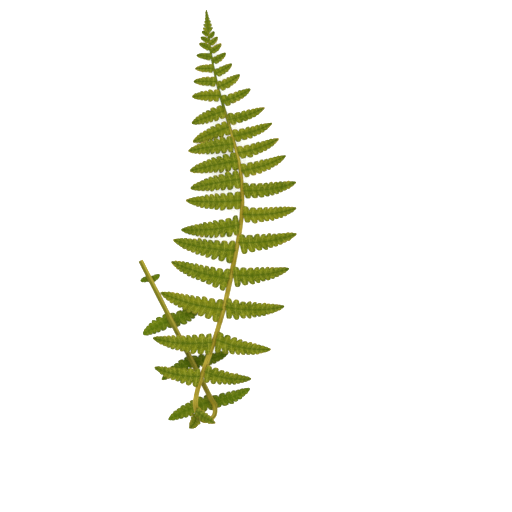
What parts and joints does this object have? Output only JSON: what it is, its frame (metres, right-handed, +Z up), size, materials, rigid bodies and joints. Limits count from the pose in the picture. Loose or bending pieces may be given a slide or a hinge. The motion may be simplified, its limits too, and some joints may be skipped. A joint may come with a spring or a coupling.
{
  "type": "bracken fern frond",
  "caption": "Cut fern frond lying flat, its lobed olive leaflets in two rows along a tan stalk that bends back under the leaf in a small loop.",
  "frame": {"origin": "on the surface that the frond lies on, under the middle of its box", "axes": "+Y towards the tip of the leaf, +X to the right seen from above, +Z up from the surface"},
  "size_m": [0.24, 0.6248, 0.088],
  "materials": {
    "stalk_tan": "smooth golden tan plant stem with fine grooves along it, satin",
    "leaf_green": "olive green leaf with a fine net of yellow-green veins, tan edges and a soft waxy sheen"
  },
  "bodies": {
    "root": {"stalk": "stalk_tan", "blade": "leaf_green"}
  },
  "joints": []
}
